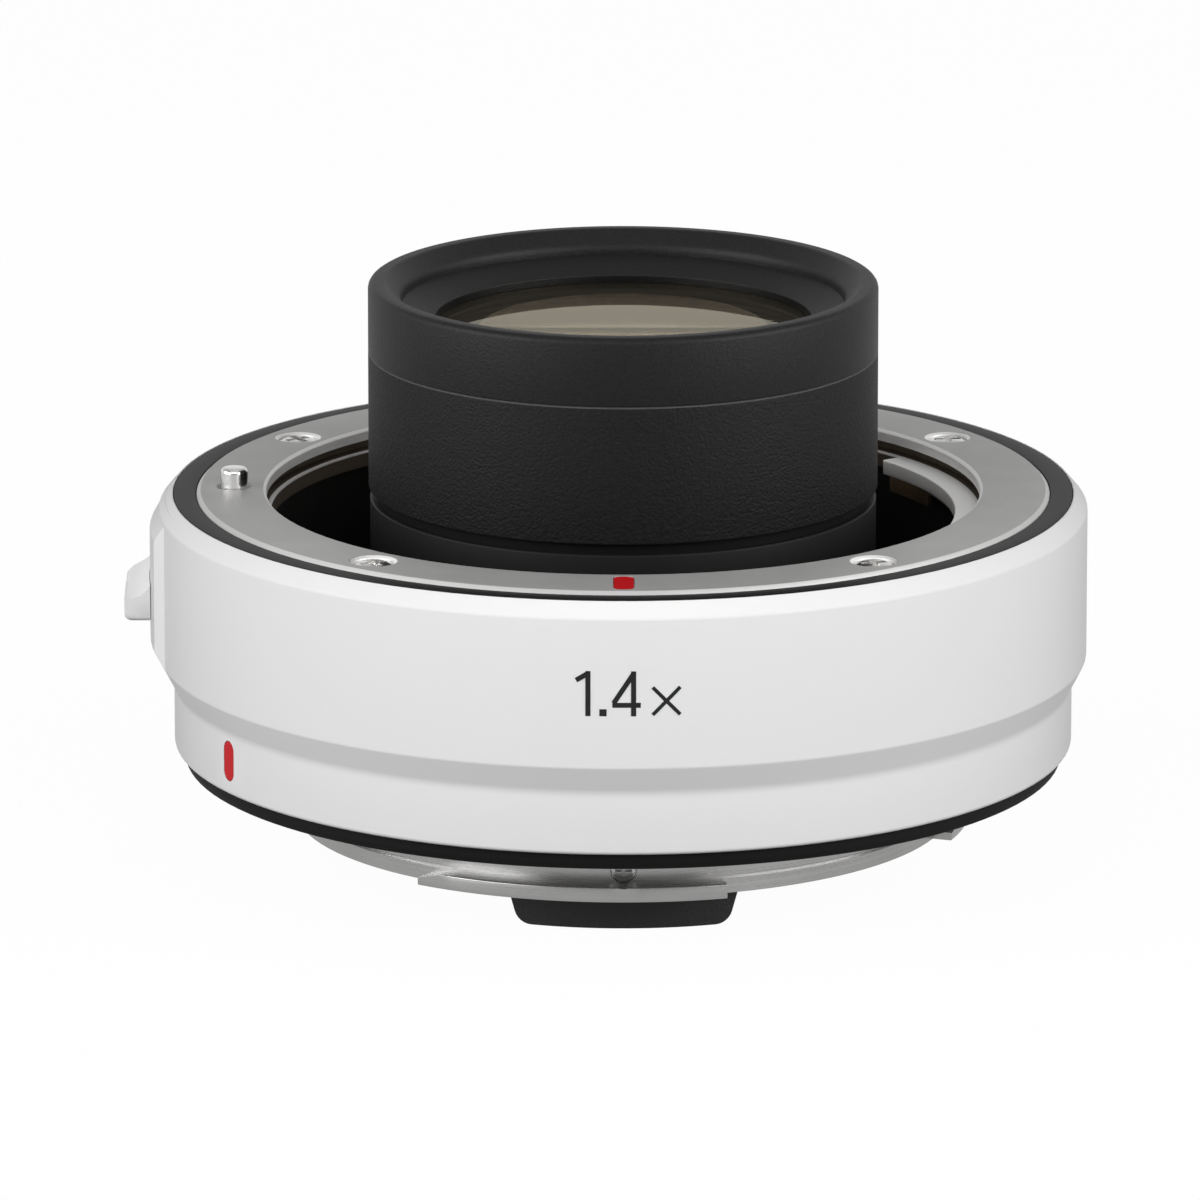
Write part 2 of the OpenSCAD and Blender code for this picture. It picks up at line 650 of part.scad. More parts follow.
module barrel_sleeve() color(BLACK)
  lathe(rounded([[tube_r + slip, sleeve_z, 0], [barrel_r, sleeve_z, 0.15], [barrel_r, joint_z, 0.22],
    [tube_r + slip, joint_z, 0]]));

module barrel_base() color(BLACK)
  difference() {
    lathe(rounded([[tube_r + slip, floor_top, 0], [base_flange_r, floor_top, 0],
      [base_flange_r, floor_top + base_flange_t, 0.2], [barrel_r - 0.1, floor_top + base_flange_t, 0],
      [barrel_r - 0.1, base_top, 0.15], [tube_r + slip, base_top, 0]]));
    for (a = base_screw_angles) at(a, base_screw_r) {
      drill(base_shank, floor_top - 1, floor_top + base_flange_t);
      drill(base_head_r, floor_top + base_flange_t - base_head_h, floor_top + base_flange_t + 2);
    }
  }

module barrel_screws() color(STEEL)
  for (a = base_screw_angles) at(a, base_screw_r) translate([0, 0, floor_top + base_flange_t])
    cross_screw(base_head_r, base_head_h, base_shank, base_flange_t + 1.1);

module lens_tube() color(BLACK)
  lathe([[pair4_r + 0.1, tube_z], [tube_r, tube_z], [tube_r, base_top], [tube_flange_r, base_top],
    [tube_flange_r, sleeve_z], [tube_r, sleeve_z], [tube_r, tube_top], [front_glass_r + 0.1, tube_top],
    [front_glass_r + 0.1, glass1_back], [pair2_r + 0.1, glass1_back], [pair2_r + 0.1, pair2_seat],
    [pair3_r - 0.8, pair2_seat], [pair3_r - 0.8, pair3_seat], [pair3_r + 0.1, pair3_seat],
    [pair3_r + 0.1, pair4_z - 1], [pair4_r + 0.1, pair4_z - 1]]);

// ball whose top or bottom lies at height z
module ball_under(R, z, grow = 0) translate([0, 0, z - R]) sphere(r = R + grow, $fn = 180);

module ball_over(R, z, grow = 0) translate([0, 0, z + R]) sphere(r = R + grow, $fn = 180);

// single front glass
module lens_element_1() color(GLASS) intersection() {
  bar(front_glass_r, glass1_back, glass1_z + 1);
  ball_under(glass1_R, glass1_z);
}

// second group
module lens_element_2() color(GLASS) intersection() {
  bar(pair2_r, pair2_joint - 1, pair2_z + 1);
  ball_under(glass2_R, pair2_z);
  ball_over(joint2_R, pair2_joint);
}

module lens_element_3() color(GLASS) difference() {
  bar(pair2_r, pair2_seat, pair2_joint + sag(joint2_R, pair2_r) - cement);
  ball_over(joint2_R, pair2_joint, cement);
  ball_under(glass3_R, pair2_seat + 1.3);
}

// third group
module lens_element_4() color(GLASS) difference() {
  bar(pair3_r, pair3_joint - sag(joint3_R, pair3_r), pair3_seat);
  ball_over(glass4_R, pair3_seat - 1.7);
  ball_under(joint3_R, pair3_joint);
}

module lens_element_5() color(GLASS) intersection() {
  bar(pair3_r, pair3_back - 1, pair3_joint + 1);
  ball_under(joint3_R, pair3_joint, -cement);
  ball_over(glass5_R, pair3_back);
}

// fourth group
module lens_element_6() color(GLASS) intersection() {
  bar(pair4_r, pair4_joint - 1, pair4_z + 1);
  ball_under(glass6_R, pair4_z);
  ball_over(joint4_R, pair4_joint);
}

module lens_element_7() color(GLASS) difference() {
  bar(pair4_r, pair4_foot, pair4_joint + sag(joint4_R, pair4_r) - cement);
  ball_over(joint4_R, pair4_joint, cement);
  ball_under(glass7_R, pair4_foot + 1.7);
}

module front_spacer() color(BLACK)
  let (r = pair2_r - 0.7, z = pair2_z - sag(glass2_R, r) + cement)
  lathe([[r, z], [pair2_r + slip, z], [pair2_r + slip, glass1_back], [mask_r, glass1_back],
    [mask_r, glass1_back - 0.4], [r, glass1_back - 1.2]]);

module rear_spacer() color(BLACK)
  let (r = pair3_r - 0.9)
  ring(r, pair3_r + slip, pair4_z - sag(glass6_R, r) + cement, pair3_back + sag(glass5_R, r) - cement);

module rear_retainer() color(BLACK)
  ring(pair4_r - 1.2, pair4_r + slip, tube_z + 0.2, pair4_foot);

// camera-side bayonet
module camera_mount() color(STEEL)
  difference() {
    lathe(rounded([[spigot_bore, cam_plate_t, 0], [cam_lip_r, cam_plate_t, 0], [cam_lip_r, cam_lip_z, 0],
      [cam_r, cam_lip_z, 0], [cam_r, 0, 0.2], [relief_r, 0, 0], [relief_r, 0.2, 0], [neck_r, 0.2, 0],
      [neck_r, lug_top, 0], [lug_r, lug_top, 0.1], [lug_r, spigot_z, 0.12], [spigot_bore, spigot_z, 0],
      [spigot_bore, ledge_z, 0], [ledge_r, ledge_z, 0], [ledge_r, ledge_z + ledge_t, 0],
      [spigot_bore, ledge_z + ledge_t, 0]]));
    gaps(lugs, spigot_r, lug_r + 1, spigot_z - 1, lug_top + 1);
    for (g = lugs) rotate([0, 0, g[0]]) translate([-0.6, -lug_r - 2, spigot_z + 0.45]) rotate([0, -14, 0])
      cube([5, lug_r + 1.95 - spigot_r, 3]);
    for (a = cam_screw_angles) at(a, cam_screw_r) rotate([180, 0, 0])
      screw_hole(head_r, cam_head_drop, head_h, shank_r, cam_plate_t + 0.5, 0, $fn = 48);
    translate([-lock_r, 0, 0]) bar(lock_hole_r, -1, lock_hole_t, $fn = 48);
    for (a = side_screw_angles) at(a, spigot_r) translate([0, 0, side_screw_z]) rotate([90, 0, 0]) {
      drill(side_head_r, neck_r - spigot_r - side_head_h, lug_r - spigot_r + 1);
      drill(side_shank, -side_screw_len, 0);
    }
  }

module camera_mount_screws() color(STEEL)
  for (a = cam_screw_angles) at(a, cam_screw_r) translate([0, 0, cam_head_drop]) rotate([180, 0, 0])
    cross_screw(head_r, head_h, shank_r, cam_screw_len);

// radial screws that hold the baffle in the spigot
module baffle_screws() color(STEEL)
  for (a = side_screw_angles) at(a, neck_r) translate([0, 0, side_screw_z]) rotate([90, 0, 0])
    rotate([0, 0, 45]) cross_screw(side_head_r, side_head_h, side_shank, side_screw_len, 0.3);

module mount_gasket() color(BLACK)
  lathe(rounded([[cam_r + slip, cam_lip_z, 0], [cam_r + slip, -gasket_lip + 0.6, 0],
    [cam_r + 0.5, -gasket_lip, 0.15], [gasket_r - 0.1, -gasket_lip, 0.2],
    [gasket_r, -gasket_lip + 0.5, 0.1], [gasket_r, shell_lift, 0], [bore_r - slip, shell_lift, 0],
    [bore_r - slip, cam_lip_z, 0]]));

// rear frame
module tab_wall(hw, side)
  intersection() {
    ring(tab_r - tab_t, tab_r, -tab_depth, baffle_foot + 0.6);
    rotate([0, 0, side]) rotate([90, 0, 0]) linear_extrude(height = tab_r + 1)
      polygon(rounded([[-hw, baffle_foot + 1, 0], [hw, baffle_foot + 1, 0], [hw - 1.3, -tab_depth, 1.3],
        [-hw + 1.3, -tab_depth, 1.3]], 6));
  }

module rear_baffle() color(BLACK)
  difference() {
    union() {
      ring(tab_r - tab_t, baffle_r, baffle_foot, ledge_z);
      ring(window_hh - 1, tab_r, baffle_floor, baffle_floor + baffle_floor_t);
      tab_wall(tab_hw, 0);
      tab_wall(guard_hw, 180);
    }
    translate([0, 0, baffle_floor - 1]) linear_extrude(height = baffle_floor_t + 2)
      polygon(rounded([[-window_hw, -window_hh, 2], [window_hw, -window_hh, 2], [window_hw, window_hh, 2],
        [-window_hw, window_hh, 2]]));
    flex_slot(rear_flex_r, baffle_floor - 1, baffle_floor + baffle_floor_t + 1);
    for (a = side_screw_angles) at(a, baffle_r) translate([0, 0, side_screw_z]) rotate([90, 0, 0])
      drill(side_shank, -2.4, 1.6);
  }

module rear_contact_block() color(BLACK)
  difference() {
    arc(rear_block_r0, tab_r - tab_t - slip, rear_block_z, baffle_floor, 180 - rear_block_half,
      180 + rear_block_half);
    for (i = [1 : 12]) at(pin_angle(i), pads_r) translate([-pad_w / 2, -pad_l / 2, rear_block_z - 1])
      cube([pad_w, pad_l, 1.4]);
  }

module rear_contact_pads() color(GOLD)
  for (i = [1 : 12]) at(pin_angle(i), pads_r)
    translate([slip - pad_w / 2, slip - pad_l / 2, rear_block_z - 0.05])
      cube([pad_w - 2 * slip, pad_l - 2 * slip, 0.45]);

body_shell();
front_bezel();
lens_mount();
lens_mount_screws();
lens_mount_index();
body_index();
mount_leaf_springs();
chassis();
circuit_board();
board_chips();
board_screws();
front_flex();
rear_flex();
front_contact_block();
contact_pin_01();
contact_pin_02();
contact_pin_03();
contact_pin_04();
contact_pin_05();
contact_pin_06();
contact_pin_07();
contact_pin_08();
contact_pin_09();
contact_pin_10();
contact_pin_11();
contact_pin_12();
contact_springs();
release_lever();
lock_slider();
lock_pin();
lever_cross_pin();
lock_guide_rods();
lock_spring();
front_hood();
barrel_sleeve();
barrel_base();
barrel_screws();
lens_tube();
lens_element_1();
lens_element_2();
lens_element_3();
lens_element_4();
lens_element_5();
lens_element_6();
lens_element_7();
front_spacer();
rear_spacer();
rear_retainer();
camera_mount();
camera_mount_screws();
baffle_screws();
mount_gasket();
rear_baffle();
rear_contact_block();
rear_contact_pads();
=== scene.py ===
"""Dresses the camera teleconverter: finishes for its solids, the ratio mark, the stage and the camera."""

import math

import bmesh
import bpy
from mathutils import Matrix, Vector


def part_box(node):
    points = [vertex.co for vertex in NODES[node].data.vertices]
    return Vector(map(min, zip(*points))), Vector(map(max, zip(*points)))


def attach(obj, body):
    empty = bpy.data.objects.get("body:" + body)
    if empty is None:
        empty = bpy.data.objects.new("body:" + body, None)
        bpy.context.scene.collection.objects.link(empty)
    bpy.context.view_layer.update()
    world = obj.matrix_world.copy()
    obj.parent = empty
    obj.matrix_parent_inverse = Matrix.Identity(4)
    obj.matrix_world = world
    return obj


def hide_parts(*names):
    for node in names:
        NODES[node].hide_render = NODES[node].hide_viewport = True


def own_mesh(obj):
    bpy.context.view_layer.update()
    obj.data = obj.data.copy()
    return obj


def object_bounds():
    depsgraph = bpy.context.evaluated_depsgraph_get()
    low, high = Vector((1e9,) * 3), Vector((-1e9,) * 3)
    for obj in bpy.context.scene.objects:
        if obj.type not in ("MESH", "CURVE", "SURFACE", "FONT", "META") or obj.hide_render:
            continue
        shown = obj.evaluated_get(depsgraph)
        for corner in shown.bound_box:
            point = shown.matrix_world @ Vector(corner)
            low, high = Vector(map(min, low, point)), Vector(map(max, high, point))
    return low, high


bl_info = {
    "name": "Camera teleconverter",
    "version": (1, 0, 0),
    "blender": (4, 5, 0),
    "location": "View3D > Sidebar > Teleconverter",
    "description": "Finishes, ratio mark and stage of a camera teleconverter",
    "category": "Object",
}

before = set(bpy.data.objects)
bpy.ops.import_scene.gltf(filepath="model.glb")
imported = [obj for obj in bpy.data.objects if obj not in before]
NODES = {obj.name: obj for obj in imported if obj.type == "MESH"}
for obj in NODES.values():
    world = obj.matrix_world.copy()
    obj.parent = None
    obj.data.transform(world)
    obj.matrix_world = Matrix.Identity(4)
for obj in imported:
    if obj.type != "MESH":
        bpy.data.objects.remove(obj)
CAD_BOX = [list(corner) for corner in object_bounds()]
BODY = "converter"
MM = 0.001
PIN_NODES = [f"contact_pin_{i:02d}" for i in range(1, 13)]
LOCK_TRAVEL = 2.0 * MM
PIN_TRAVEL = 0.6 * MM
PRINT_LIFT = 0.004 * MM
PRINT_THICKNESS = 0.012 * MM
GLASS_NODES = [f"lens_element_{i}" for i in range(1, 8)]


# Node building


def add_node(tree, kind, inputs=None, **settings):
    """Adds a node, sets its options and links or sets its inputs by name or number."""
    made = tree.nodes.new(kind)
    for key, value in settings.items():
        setattr(made, key, value)
    for key, value in (inputs or {}).items():
        if isinstance(value, bpy.types.NodeSocket):
            tree.links.new(value, made.inputs[key])
        else:
            made.inputs[key].default_value = value
    return made


class Finish:
    """A new material with its shader and the node calls that its pattern needs."""

    def __init__(self, name, color, roughness, metallic=0.0):
        self.material = bpy.data.materials.new(name)
        self.material.use_nodes = True
        self.tree = self.material.node_tree
        self.shader = self.tree.nodes["Principled BSDF"]
        self.socket("Base Color", (*color, 1.0))
        self.socket("Roughness", roughness)
        self.socket("Metallic", metallic)
        self.color = color
        self.roughness = roughness

    def socket(self, name, value):
        """Sets one of the shader's own sockets."""
        self.shader.inputs[name].default_value = value

    def node(self, kind, inputs=None, **settings):
        """Adds a node to the material."""
        return add_node(self.tree, kind, inputs, **settings)

    def link(self, output, name):
        """Links an output to the shader."""
        self.tree.links.new(output, self.shader.inputs[name])

    def place(self):
        """Coordinates of the solid in metres."""
        return self.node("ShaderNodeTexCoord").outputs["Object"]

    def turned(self, across, along):
        """Coordinates that are stretched round the optical axis, for the marks a lathe leaves."""
        radius, height = self.radius_and_height()
        parts = self.node("ShaderNodeSeparateXYZ", {0: self.place()})
        angle = self.math("ARCTAN2", parts.outputs[1], parts.outputs[0])
        return self.node(
            "ShaderNodeCombineXYZ",
            {
                0: self.math("MULTIPLY", radius, across),
                1: self.math("MULTIPLY", angle, along),
                2: self.math("MULTIPLY", height, across),
            },
        ).outputs[0]

    def radius_and_height(self):
        """Distance from the optical axis and height, in metres."""
        parts = self.node("ShaderNodeSeparateXYZ", {0: self.place()})
        flat = self.node("ShaderNodeCombineXYZ", {0: parts.outputs[0], 1: parts.outputs[1]})
        radius = self.node("ShaderNodeVectorMath", {0: flat.outputs[0]}, operation="LENGTH")
        return radius.outputs["Value"], parts.outputs[2]

    def shade_where(self, mask, color):
        """Mixes the base colour toward another where the mask is 1."""
        old = self.shader.inputs["Base Color"]
        first = old.links[0].from_socket if old.is_linked else (*self.color, 1.0)
        mixed = self.node("ShaderNodeMix", {0: mask, 6: first, 7: (*color, 1.0)}, data_type="RGBA")
        self.link(mixed.outputs[2], "Base Color")

    def math(self, operation, a, b=0.0):
        """One math node."""
        return self.node("ShaderNodeMath", {0: a, 1: b}, operation=operation).outputs[0]

    def noise(self, vector, scale, detail=3.0, rough=0.5):
        """Noise from 0 to 1."""
        inputs = {"Vector": vector, "Scale": scale, "Detail": detail, "Roughness": rough}
        return self.node("ShaderNodeTexNoise", inputs).outputs["Fac"]

    def pebbles(self, vector, scale, smooth=0.6):
        """Rounded cells from 0 to 1, for moulded grain."""
        made = self.node(
            "ShaderNodeTexVoronoi",
            {"Vector": vector, "Scale": scale, "Smoothness": smooth, "Randomness": 1.0},
            feature="SMOOTH_F1",
        )
        return made.outputs["Distance"]

    def spread(self, value, low, high):
        """Maps 0..1 onto low..high."""
        return self.node("ShaderNodeMapRange", {0: value, 3: low, 4: high}).outputs[0]

    def vary_color(self, value, amount):
        """Lightens and darkens the base colour by a small share."""
        low = tuple(c * (1.0 - amount) for c in self.color)
        high = tuple(min(1.0, c * (1.0 + amount)) for c in self.color)
        mixed = self.node("ShaderNodeMix", {0: value, 6: (*low, 1.0), 7: (*high, 1.0)}, data_type="RGBA")
        self.link(mixed.outputs[2], "Base Color")

    def vary_roughness(self, value, amount):
        """Lets the roughness wander about its mean."""
        self.link(self.spread(value, self.roughness - amount, self.roughness + amount), "Roughness")

    def bump(self, height, depth_mm, strength=1.0):
        """Bump of a given depth."""
        inputs = {"Height": height, "Strength": strength, "Distance": depth_mm * MM}
        made = self.node("ShaderNodeBump", inputs)
        self.link(made.outputs[0], "Normal")


def enamel(name, color, limb):
    """Sprayed white enamel with a faint orange peel, dimmer where it turns away by the tint of its coat."""
    f = Finish(name, color, 0.42)
    f.socket("Specular IOR Level", 0.12)
    f.socket("Coat Weight", 1.0)
    f.socket("Coat Roughness", 0.3)
    f.socket("Coat IOR", 1.05)
    f.socket("Coat Tint", (limb, limb, limb, 1.0))
    place = f.place()
    peel = f.noise(place, 1500.0, 2.0)
    cloud = f.noise(place, 90.0, 4.0)
    f.vary_color(cloud, 0.012)
    f.vary_roughness(cloud, 0.05)
    f.bump(peel, 0.004, 0.5)
    return f.material


def moulded(name, color, roughness, grain_mm, depth_mm, gloss=0.3):
    """Moulded plastic or blackened metal with a fine even grain."""
    f = Finish(name, color, roughness)
    f.socket("Specular IOR Level", gloss)
    place = f.place()
    grain = f.noise(place, 1.0 / (grain_mm * MM), 3.0, 0.6)
    f.vary_color(f.noise(place, 400.0, 4.0), 0.12)
    f.vary_roughness(grain, 0.08)
    f.bump(grain, depth_mm, 0.6)
    return f.material


def hood_black(name, color, lip_radius, lip_top):
    """Blackened hood with fine grain, with a painted shadow (dead black) at the edge over the glass."""
    f = Finish(name, color, 0.46)
    f.socket("Specular IOR Level", 0.21)
    place = f.place()
    grain = f.noise(place, 5500.0, 3.0, 0.6)
    f.vary_color(grain, 0.9)
    f.vary_roughness(grain, 0.08)
    f.bump(grain, 0.045, 0.9)
    radius, height = f.radius_and_height()
    # Painted shadow: the lip's inner edge below lip_top is made dead black for the shaded gap between lip and
    # glass.
    edge = f.math("LESS_THAN", radius, lip_radius)
    under = f.math("LESS_THAN", height, lip_top)
    f.shade_where(f.math("MULTIPLY", edge, under), (0.0004, 0.0004, 0.0004))
    return f.material


def grained(name, color, roughness, cell_mm, depth_mm, edge):
    """Pebbled coating of the barrel sleeve, with a painted highlight along its top edge."""
    f = Finish(name, color, roughness)
    f.socket("Specular IOR Level", 0.17)
    place = f.place()
    wander = f.noise(place, 4600.0, 3.0, 0.6)
    cells = f.pebbles(place, 1.0 / (cell_mm * MM))
    height = f.math("ADD", f.math("MULTIPLY", cells, -1.0), f.math("MULTIPLY", wander, 1.2))
    f.vary_color(wander, 0.95)
    _, level = f.radius_and_height()
    # Painted highlight: above the given height the colour is nine times paler, for light caught by the rounded
    # top edge.
    f.shade_where(f.math("GREATER_THAN", level, edge), tuple(9.0 * c for c in color))
    f.vary_roughness(wander, 0.1)
    f.bump(height, depth_mm, 1.0)
    return f.material


def turned_metal(name, color, roughness, swirl=0.3):
    """Metal turned on a lathe, with fine rings about the optical axis."""
    return turned_finish(name, color, roughness, swirl).material


def throat_metal(
    name, color, roughness, highlight_color, recess, rim_radius, face, face_radius, wall_radius, under, ledge
):
    """Satin flange with painted highlights on its throat, claws, bevel faces and a ledge's edge, and a painted
    brown shade on the wall behind that ledge.
    """
    f = turned_finish(name, color, roughness, 0.25)
    radius, height = f.radius_and_height()
    # Painted highlights: the throat and claws inside face_radius and every face below the flange's top
    # (bevels, screw dishes) get the highlight colour; the outer rim bevel gets only a share of it.
    inner = f.math("LESS_THAN", radius, face_radius)
    rim = f.math("MULTIPLY", f.math("GREATER_THAN", radius, rim_radius), 0.65)
    bevel_highlights = f.math("SUBTRACT", f.math("LESS_THAN", height, face), rim)
    f.shade_where(f.math("MAXIMUM", inner, bevel_highlights), highlight_color)
    # Painted shade: the wall outside wall_radius and below under turns brown, all but a thin band along the
    # ledge's edge, which keeps its painted highlight.
    outside = f.math("GREATER_THAN", radius, wall_radius)
    below = f.math("LESS_THAN", height, under)
    from_ledge = f.math("ABSOLUTE", f.math("SUBTRACT", height, ledge))
    near_ledge = f.math("LESS_THAN", from_ledge, 0.1 * MM)
    near_edge = f.math("LESS_THAN", radius, wall_radius + 0.45 * MM)
    ledge_highlight = f.math("MULTIPLY", near_ledge, near_edge)
    recess_shade_mask = f.math("MULTIPLY", outside, below)
    f.shade_where(f.math("MULTIPLY", recess_shade_mask, f.math("SUBTRACT", 1.0, ledge_highlight)), recess)
    return f.material


def turned_finish(name, color, roughness, swirl):
    """Finish with the rings that a lathe leaves about the optical axis."""
    f = Finish(name, color, roughness, 1.0)
    rings = f.noise(f.turned(9000.0, 1.2), 1.0, 2.0, 0.6)
    stain = f.noise(f.place(), 260.0, 4.0)
    f.vary_color(f.math("MULTIPLY", f.math("ADD", rings, stain), 0.5), 0.16)
    f.vary_roughness(rings, 0.1)
    f.bump(rings, 0.0012, 0.5)
    f.socket("Anisotropic", swirl)
    f.socket("Anisotropic Rotation", 0.25)
    tangent = f.node("ShaderNodeTangent", direction_type="RADIAL", axis="Z")
    f.link(tangent.outputs[0], "Tangent")
    return f

# Small metal pieces, smooth-finished or plated.

def plain_metal(name, color, roughness):
    """Small polished or plated metal pieces."""
    f = Finish(name, color, roughness, 1.0)
    place = f.place()
    marks = f.noise(place, 5000.0, 3.0)
    f.vary_color(f.noise(place, 700.0, 3.0), 0.06)
    f.vary_roughness(marks, 0.06)
    f.bump(marks, 0.0015, 0.4)
    return f.material


def paint_fill(name, color):
    """Paint run into a shallow recess."""
    f = Finish(name, color, 0.4)
    f.socket("Specular IOR Level", 0.15)
    place = f.place()
    flow = f.noise(place, 900.0, 3.0)
    f.vary_color(flow, 0.06)
    f.vary_roughness(flow, 0.06)
    f.bump(flow, 0.006, 0.5)
    return f.material


def coated_glass(name, color, tint):
    """Clear optical glass whose coating reflects in one tint."""
    f = Finish(name, color, 0.0)
    dust = f.noise(f.place(), 4200.0, 5.0, 0.7)
    f.link(f.spread(dust, 0.0, 0.03), "Roughness")
    f.socket("Transmission Weight", 0.93)
    f.socket("IOR", 1.52)
    f.socket("Coat Weight", 1.0)
    f.socket("Coat IOR", 1.01)
    f.socket("Coat Roughness", 0.0)
    f.socket("Coat Tint", (*tint, 1.0))
    return f.material


def deep_glass(name, color, tint):
    """Inner glass drawn opaque dark brown with a tinted gloss: painted shade for the dark of the tube seen
    through it.
    """
    # Painted shade: an opaque dark base colour stands in for clear glass in front of the dark tube.
    f = Finish(name, color, 0.06)
    depth = f.noise(f.place(), 120.0, 2.0)
    f.vary_color(depth, 0.1)
    f.vary_roughness(depth, 0.02)
    f.socket("IOR", 1.7)
    f.socket("Specular Tint", (*tint, 1.0))
    return f.material


# Dressing the solids


def smoothing(angle):
    """Geometry nodes that weld a solid's seams and smooth it up to an edge angle."""
    name = f"weld_and_smooth_{round(math.degrees(angle))}"
    tree = bpy.data.node_groups.get(name)
    if tree:
        return tree
    tree = bpy.data.node_groups.new(name, "GeometryNodeTree")
    tree.interface.new_socket("Geometry", in_out="INPUT", socket_type="NodeSocketGeometry")
    tree.interface.new_socket("Geometry", in_out="OUTPUT", socket_type="NodeSocketGeometry")
    start = add_node(tree, "NodeGroupInput")
    drop = add_node(
        tree, "GeometryNodeRemoveAttribute", {"Geometry": start.outputs[0], "Name": "custom_normal"}
    )
    weld = add_node(
        tree, "GeometryNodeMergeByDistance", {"Geometry": drop.outputs[0], "Distance": 0.001 * MM}
    )
    smooth = add_node(
        tree,
        "GeometryNodeSetShadeSmooth",
        {"Geometry": weld.outputs[0], "Shade Smooth": True},
        domain="FACE",
    )
    edge = add_node(tree, "GeometryNodeInputMeshEdgeAngle")
    sharp = add_node(
        tree,
        "FunctionNodeCompare",
        {0: edge.outputs["Unsigned Angle"], 1: angle},
        operation="GREATER_THAN",
    )
    crease = add_node(
        tree,
        "GeometryNodeSetShadeSmooth",
        {"Geometry": smooth.outputs[0], "Selection": sharp.outputs[0], "Shade Smooth": False},
        domain="EDGE",
    )
    add_node(tree, "NodeGroupOutput", {0: crease.outputs[0]})
    return tree


def dress(names, material, angle=30.0):
    """Gives solids their finish and smooth shading."""
    for name in names:
        solid = NODES[name]
        solid.data.materials.clear()
        solid.data.materials.append(material)
        modifier = solid.modifiers.new("weld_and_smooth", "NODES")
        modifier.node_group = smoothing(math.radians(angle))


# Sizes and colours


def color_property(name, description, default):
    """Colour that a user may change."""
    return bpy.props.FloatVectorProperty(
        name=name, description=description, default=default, subtype="COLOR", size=3, min=0.0, max=1.0
    )


def size_property(name, description, default):
    """Length that a user may change."""
    return bpy.props.FloatProperty(name=name, description=description, default=default, unit="LENGTH")


class TeleconverterColours(bpy.types.PropertyGroup):
    """Colours of the finishes."""

    shell: color_property("Shell", "White enamel of the shell and the lever", (0.89, 0.89, 0.888))
    bezel: color_property("Bezel", "Dark grey ring round the lens mount", (0.0095, 0.0095, 0.0097))
    steel: color_property("Steel", "Satin steel of the lens flange", (0.5, 0.498, 0.492))
    # Painted highlight colour of the lens flange's throat, claws, bevels and screw dishes.
    flange_highlight: color_property("Polished", "Brighter steel of the throat and the claws", (0.95, 0.945, 0.935))
    spigot: color_property("Spigot", "Turned steel of the camera mount", (0.45, 0.447, 0.441))
    # Painted brown shade on the lens flange's wall behind its ledge.
    recess: color_property("Recess", "Brown stain behind the lens flange", (0.16, 0.13, 0.1))
    screw: color_property("Screws", "Plated screws and pins", (0.85, 0.845, 0.835))
    index: color_property("Index", "Red index marks", (0.5, 0.008, 0.012))
    bronze: color_property("Bronze", "Leaf springs of the lens mount", (0.6, 0.46, 0.3))
    hood: color_property("Hood", "Front ring of the barrel", (0.009, 0.009, 0.0092))
    sleeve: color_property("Sleeve", "Grained tube of the barrel", (0.0068, 0.0068, 0.007))
    inside: color_property("Inside", "Blackened frame and tube", (0.01, 0.0095, 0.009))
    spacer: color_property("Spacer", "Brown ring behind the front glass", (0.05, 0.044, 0.039))
    plastic: color_property("Plastic", "Black moulded pieces", (0.009, 0.009, 0.0095))
    gold: color_property("Gold", "Plated contacts", (0.8, 0.56, 0.24))
    board: color_property("Board", "Green of the circuit board", (0.012, 0.06, 0.03))
    chip: color_property("Chips", "Black of the board's chips", (0.012, 0.012, 0.012))
    flex: color_property("Flex strips", "Amber film of the flex strips", (0.34, 0.14, 0.025))
    rubber: color_property("Rubber", "Gasket", (0.005, 0.005, 0.005))
    figure: color_property("Figure", "Ratio figure on the shell", (0.02, 0.02, 0.021))
    coating: color_property("Coating", "Tint that the front glass reflects", (0.92, 0.91, 0.865))


class TeleconverterSizes(bpy.types.PropertyGroup):
    """Sizes of the ratio mark and the view."""

    figure_radius: size_property("Figure radius", "Radius of the band that carries the figure", 35.6 * MM)
    figure_base: size_property("Figure base", "Height of the foot of the figure", 11.5 * MM)
    figure_height: size_property("Figure height", "Height of the digits", 3.45 * MM)
    figure_stroke: size_property("Figure stroke", "Width of the strokes", 0.38 * MM)
    cross_stroke: size_property("Cross stroke", "Width of the strokes of the multiplication cross", 0.28 * MM)
    dot_width: size_property("Dot width", "Height of the dot", 0.54 * MM)
    view_distance: size_property("View distance", "Distance from the camera to the aim point", 1.0)
    view_elevation: bpy.props.FloatProperty(
        name="View elevation",
        description="Angle of the view above the flange",
        default=math.radians(14.36),
        subtype="ANGLE",
    )


def colours():
    """The scene's colours."""
    return bpy.context.scene.teleconverter_colours


def sizes():
    """The scene's sizes."""
    return bpy.context.scene.teleconverter_sizes


# Pieces


class TELECONVERTER_OT_shell(bpy.types.Operator):
    """White shell, release lever and the dark bezel in it"""

    bl_idname = "teleconverter.shell"
    bl_label = "Shell, lever and bezel"

    def execute(self, context):
        c = colours()
        dress(["body_shell"], enamel("white_enamel", c.shell, 0.89), 48.0)
        # Painted light: the lever's enamel has a paler coat tint than the shell's, so the same white shows
        # lighter on the lever.
        dress(["release_lever"], enamel("lever_enamel", c.shell, 0.95), 48.0)
        dress(["front_bezel"], moulded("bezel_plastic", c.bezel, 0.45, 0.12, 0.006, 0.16))
        dress(["body_index"], paint_fill("red_fill", c.index))
        return {"FINISHED"}


